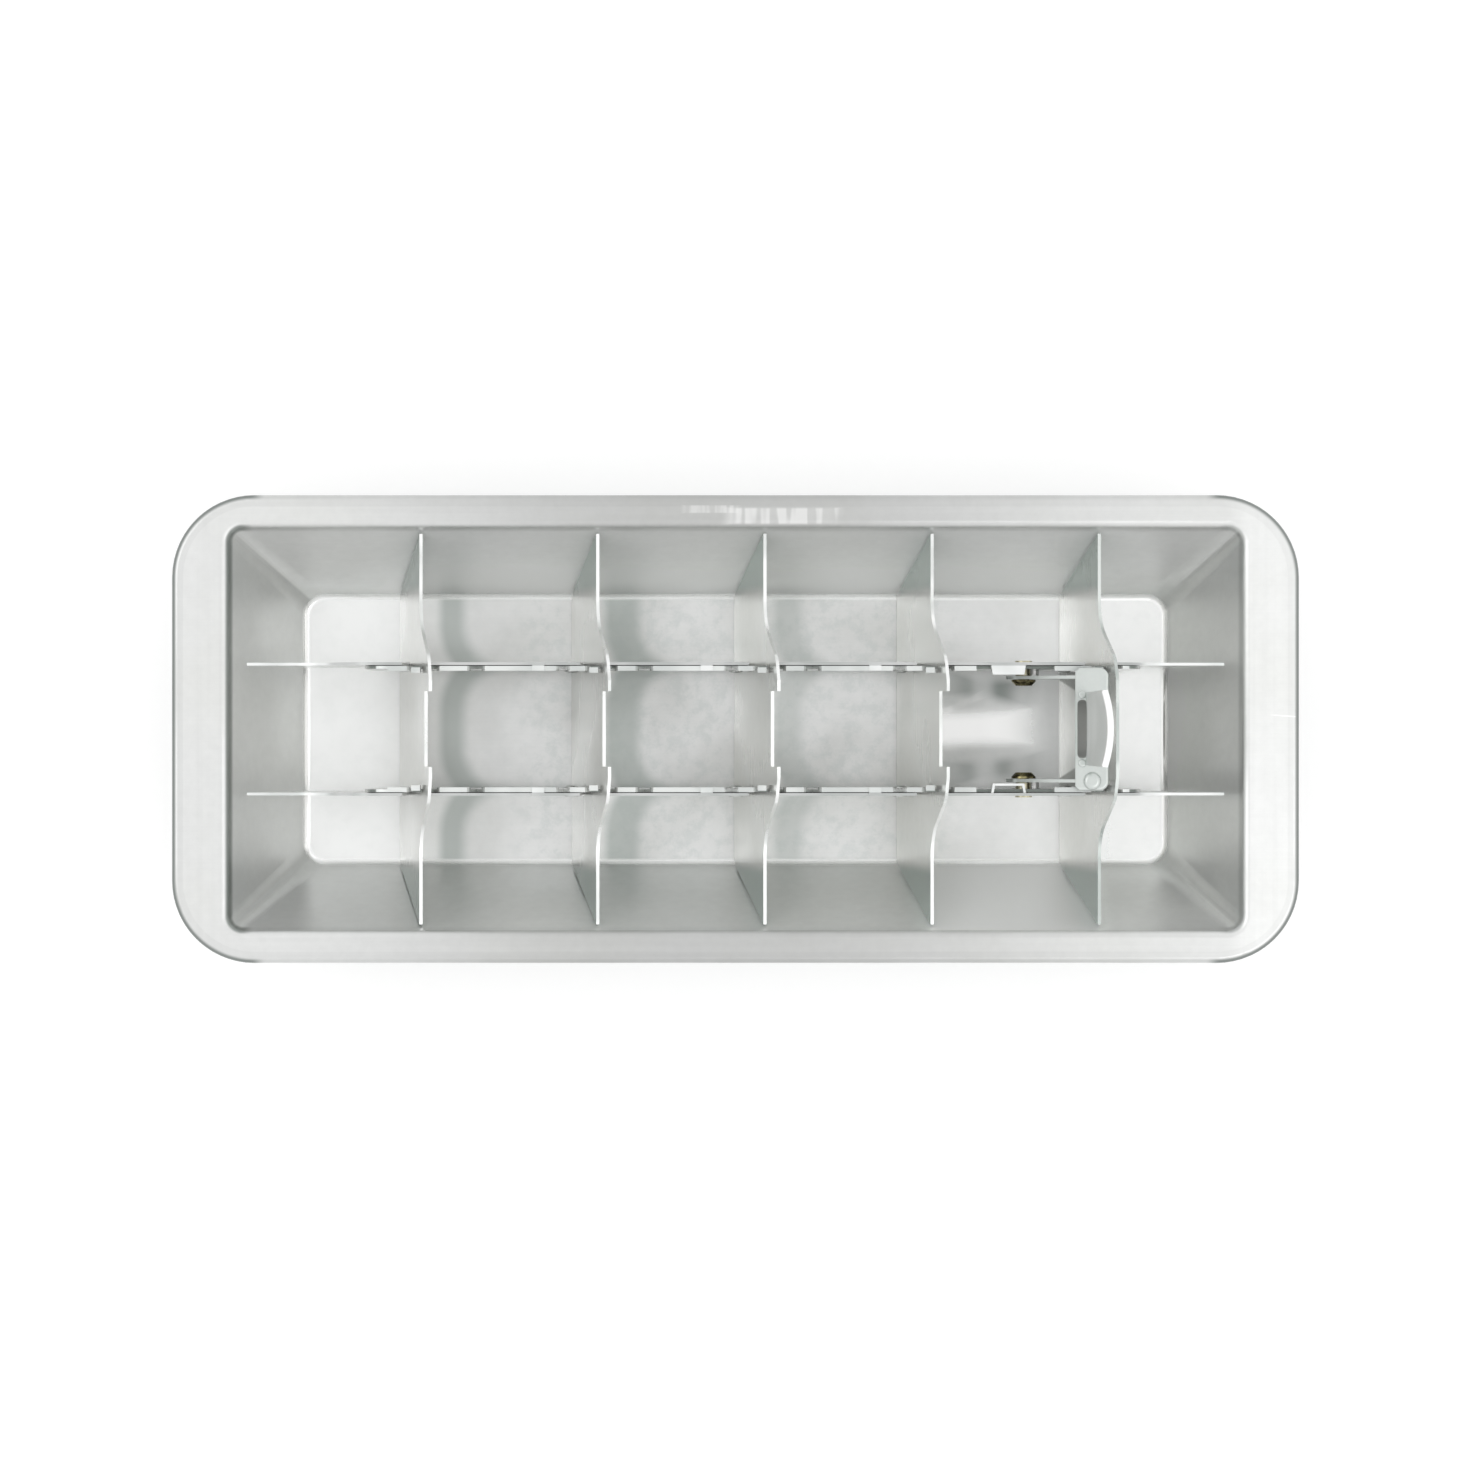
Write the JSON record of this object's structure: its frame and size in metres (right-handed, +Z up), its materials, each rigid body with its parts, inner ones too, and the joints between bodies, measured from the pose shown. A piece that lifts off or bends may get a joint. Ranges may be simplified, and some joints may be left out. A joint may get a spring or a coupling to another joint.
{
  "type": "lever ice cube tray",
  "caption": "Pressed aluminium tray with a lift-out grid of leaning cross dividers and a hinged lever that shifts them to free the ice.",
  "frame": {"origin": "centre of the pan's underside, on the surface that it stands on", "axes": "+X along the tray towards the lever end, +Y across it towards the back, +Z up"},
  "size_m": [0.28, 0.1164, 0.1198],
  "materials": {
    "pan": "satin pressed aluminium",
    "long_plate": "satin aluminium sheet",
    "slide_plate": "satin aluminium sheet",
    "divider": "satin aluminium sheet",
    "lever": "polished aluminium sheet",
    "brass_rivet": "aged brass",
    "steel_pin": "plain steel"
  },
  "bodies": {
    "tray": {"tray_pan": "pan"},
    "grid_frame": {"long_plate_front": "long_plate", "long_plate_back": "long_plate", "pivot_rivet_front": "brass_rivet", "pivot_rivet_back": "brass_rivet", "guide_rivets_front": "steel_pin", "guide_rivets_back": "steel_pin"},
    "slide_front": {"slide_plate_front": "slide_plate"},
    "slide_back": {"slide_plate_back": "slide_plate"},
    "lever": {"lever_handle": "lever", "drive_pin_front": "steel_pin", "drive_pin_back": "steel_pin"},
    "divider_1": {"cross_divider_1": "divider"},
    "divider_2": {"cross_divider_2": "divider"},
    "divider_3": {"cross_divider_3": "divider"},
    "divider_4": {"cross_divider_4": "divider"},
    "divider_5": {"cross_divider_5": "divider"}
  },
  "joints": [
    {"name": "grid_lift", "type": "slide", "parent": "tray", "child": "grid_frame", "axis": [0, 0, 1], "range_m": [0, 0.06]},
    {"name": "lever_fold", "type": "hinge", "parent": "grid_frame", "child": "lever", "pos_m": [0.0718, 0, 0.033], "axis": [0, -1, 0], "range_deg": [0, 88]},
    {"name": "slide_front_travel", "type": "slide", "parent": "grid_frame", "child": "slide_front", "axis": [-1, 0, 0], "range_m": [0, 0.00501]},
    {"name": "slide_back_travel", "type": "slide", "parent": "grid_frame", "child": "slide_back", "axis": [-1, 0, 0], "range_m": [0, 0.00501]},
    {"name": "divider_1_tilt", "type": "hinge", "parent": "grid_frame", "child": "divider_1", "pos_m": [-0.0817, 0, 0.0195], "axis": [0, -1, 0], "range_deg": [0, 12.51]},
    {"name": "divider_2_tilt", "type": "hinge", "parent": "grid_frame", "child": "divider_2", "pos_m": [-0.0377, 0, 0.0195], "axis": [0, -1, 0], "range_deg": [0, 12.51]},
    {"name": "divider_3_tilt", "type": "hinge", "parent": "grid_frame", "child": "divider_3", "pos_m": [0.0039, 0, 0.0195], "axis": [0, -1, 0], "range_deg": [0, 12.51]},
    {"name": "divider_4_tilt", "type": "hinge", "parent": "grid_frame", "child": "divider_4", "pos_m": [0.0455, 0, 0.0195], "axis": [0, -1, 0], "range_deg": [0, 12.51]},
    {"name": "divider_5_tilt", "type": "hinge", "parent": "grid_frame", "child": "divider_5", "pos_m": [0.0871, 0, 0.0195], "axis": [0, -1, 0], "range_deg": [0, 12.51]}
  ],
  "couplings": [
    {"joint": "slide_front_travel", "follows": "lever_fold", "m_per_rad": 0.0032564},
    {"joint": "slide_back_travel", "follows": "lever_fold", "m_per_rad": 0.0032564},
    {"joint": "divider_1_tilt", "follows": "lever_fold", "ratio": 0.14205},
    {"joint": "divider_2_tilt", "follows": "lever_fold", "ratio": 0.14205},
    {"joint": "divider_3_tilt", "follows": "lever_fold", "ratio": 0.14205},
    {"joint": "divider_4_tilt", "follows": "lever_fold", "ratio": 0.14205},
    {"joint": "divider_5_tilt", "follows": "lever_fold", "ratio": 0.14205}
  ]
}
